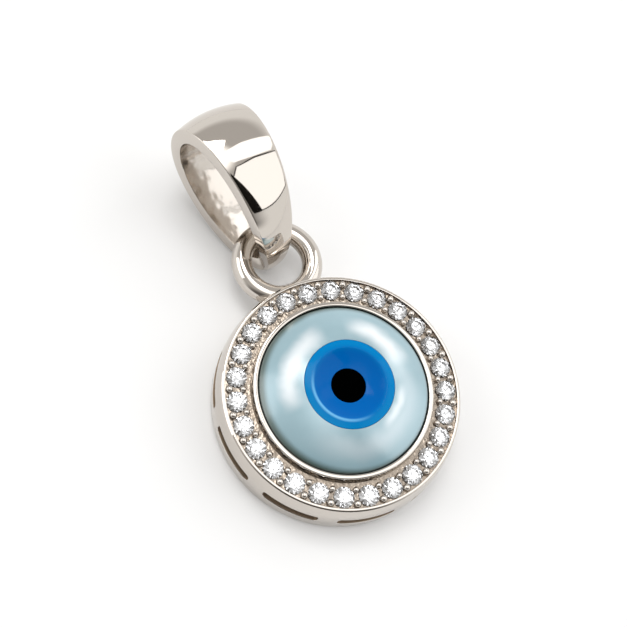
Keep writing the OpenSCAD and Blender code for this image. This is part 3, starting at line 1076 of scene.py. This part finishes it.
class PENDANT_OT_dome(bpy.types.Operator):
    """Build the shell dome with its iris and pupil"""

    bl_idname = "pendant.dome"
    bl_label = "Dome"

    def execute(self, context):
        plan = DomePlan(context.scene.pendant_dome)
        finish = context.scene.pendant_finish
        shell = nacre(finish, plan.dome_r, plan.eye)
        blue = blue_glass(finish, plan.eye, plan.dish_r)
        pieces = (
            ("cabochon_shell", add_shell, shell, "mother_of_pearl", "cabochon"),
            ("iris_glass", add_iris, blue, "iris_blue", "iris"),
            ("pupil_glass", add_pupil, black_glass(finish), "pupil_black", "pupil"),
        )
        for name, add, material, slot_name, node in pieces:
            bm = bmesh.new()
            add(bm, plan)
            make_piece(name, bm, [material], node)
        return {"FINISHED"}


class PENDANT_OT_stones(bpy.types.Operator):
    """Give the cut stones of the frame their finish"""

    bl_idname = "pendant.stones"
    bl_label = "Stones"

    def execute(self, context):
        material = cut_stone(context.scene.pendant_finish)
        for name in STONES:
            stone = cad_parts[name]
            stone.data.materials.clear()
            stone.data.materials.append(material)
        return {"FINISHED"}


# Width of the camera's sensor in millimetres
SENSOR = 36
FLOOR_SIZE = 0.5
# The softboxes: the radiance of the cloth, the width of a rim of black cloth, and the turn and
# height, in degrees, at which the pendant sees each corner
SOFTBOXES = (
    {"name": "front_softbox", "light": 1.7, "rim": 0.009,
     "corners": ((27, 64), (54, 68), (83, 50), (93, 22), (73, 7), (32, 25))},
    {"name": "side_softbox", "light": 2.0, "rim": 0.0,
     "corners": ((118, 57), (107, 18), (94, 27), (85, 53), (66, 72), (80, 82), (128, 76))},
    {"name": "back_softbox", "light": 7.0, "rim": 0.0,
     "corners": ((147, 61), (-168, 52), (-150, 70), (170, 80), (137, 75))},
    {"name": "rear_softbox", "light": 2.4, "rim": 0.0,
     "corners": ((-150, 50), (-106, 50), (-100, 24), (-139, 20))},
)
SOFTBOX_DISTANCE = 0.3
# The black flag beside the front softbox, which hangs a little nearer than the softboxes
FLAG = {"name": "flag", "corners": ((2, 66), (14, 70), (26, 66), (31, 24), (20, 26), (9, 44))}
FLAG_DISTANCE = 0.294


def direction(azimuth, elevation):
    """The way from the pendant to a thing in the studio, with its turn counted as the camera's."""
    a, e = math.radians(azimuth), math.radians(elevation)
    return Vector((math.sin(a) * math.cos(e), -math.cos(a) * math.cos(e), math.sin(e)))


def flat_piece(corners, distance, spread=0.0):
    """Corners on a plane that faces the pendant, spread outwards by so much."""
    ways = [direction(*corner) for corner in corners]
    middle_way = sum(ways, Vector()).normalized()
    points = [way * distance / way.dot(middle_way) for way in ways]
    centre = sum(points, Vector()) / len(points)
    return [p + (p - centre).normalized() * spread for p in points]


def stage_object(name, points, faces, material, in_view=False):
    """A flat thing of the studio, which isn't part of the pendant. Out of view, it shows only in
    reflections and by its light."""
    mesh = bpy.data.meshes.new(name)
    mesh.from_pydata(points, [], faces)
    mesh.materials.append(material)
    thing = bpy.data.objects.new(name, mesh)
    thing.visible_camera = in_view
    bpy.context.scene.collection.objects.link(thing)


def hang_softbox(row, light, black):
    """A softbox: a face of even light, which may have a rim of black cloth."""
    inner = flat_piece(row["corners"], SOFTBOX_DISTANCE)
    count = len(inner)
    cloth = glowing_cloth(row["light"] * light)
    stage_object(row["name"], inner, [tuple(range(count))], cloth)
    if row["rim"]:
        outer = flat_piece(row["corners"], SOFTBOX_DISTANCE, row["rim"])
        faces = [(k, (k + 1) % count, count + (k + 1) % count, count + k) for k in range(count)]
        stage_object(row["name"] + "_rim", inner + outer, faces, black)


def hang_flag(row, black):
    """A black card that darkens a part of the reflections."""
    points = flat_piece(row["corners"], FLAG_DISTANCE)
    stage_object(row["name"], points, [tuple(range(len(points)))], black)


class PENDANT_OT_studio(bpy.types.Operator):
    """Build the floor, the lights and the camera"""

    bl_idname = "pendant.studio"
    bl_label = "Studio"

    def execute(self, context):
        s = context.scene.pendant_studio
        scene = context.scene
        scene.view_settings.view_transform = "Standard"
        half = FLOOR_SIZE / 2
        corners = [(-half, -half, 0), (half, -half, 0), (half, half, 0), (-half, half, 0)]
        stage_object("floor", corners, [(0, 1, 2, 3)], floor_paper(), in_view=True)
        scene.world = room(s)
        black = black_cloth()
        for row in SOFTBOXES:
            hang_softbox(row, s.light, black)
        hang_flag(FLAG, black)

        data = bpy.data.cameras.new("camera")
        data.sensor_width = SENSOR
        data.lens = s.lens
        data.clip_start = 1 * MM
        camera = bpy.data.objects.new("camera", data)
        turn = (Matrix.Rotation(s.azimuth, 4, "Z")
                @ Matrix.Rotation(math.pi / 2 - s.elevation, 4, "X")
                @ Matrix.Rotation(s.tilt, 4, "Z"))
        back = turn.to_3x3() @ Vector((0, 0, 1))
        camera.matrix_world = Matrix.Translation(Vector(s.aim) + back * s.distance) @ turn
        scene.collection.objects.link(camera)
        scene.camera = camera
        return {"FINISHED"}


class PENDANT_PT_panel(bpy.types.Panel):
    """The pendant's operators"""

    bl_idname = "PENDANT_PT_panel"
    bl_label = "Eye Pendant"
    bl_space_type = "VIEW_3D"
    bl_region_type = "UI"
    bl_category = "Pendant"

    def draw(self, context):
        for operator in OPERATORS:
            self.layout.operator(operator.bl_idname)


GROUPS = {
    "pendant_dome": PendantDome,
    "pendant_setting": PendantSetting,
    "pendant_bail": PendantBail,
    "pendant_finish": PendantFinish,
    "pendant_studio": PendantStudio,
}
OPERATORS = (PENDANT_OT_setting, PENDANT_OT_bail, PENDANT_OT_dome, PENDANT_OT_stones,
             PENDANT_OT_studio)
CLASSES = (*GROUPS.values(), *OPERATORS, PENDANT_PT_panel)


def register():
    for cls in CLASSES:
        bpy.utils.register_class(cls)
    for name, group in GROUPS.items():
        setattr(bpy.types.Scene, name, PointerProperty(type=group))


def unregister():
    for name in GROUPS:
        delattr(bpy.types.Scene, name)
    for cls in reversed(CLASSES):
        bpy.utils.unregister_class(cls)


def main():
    """Builds the pendant and its studio."""
    register()
    bpy.ops.pendant.setting()
    bpy.ops.pendant.bail()
    bpy.ops.pendant.dome()
    bpy.ops.pendant.stones()
    bpy.ops.pendant.studio()


if __name__ == "__main__":
    main()
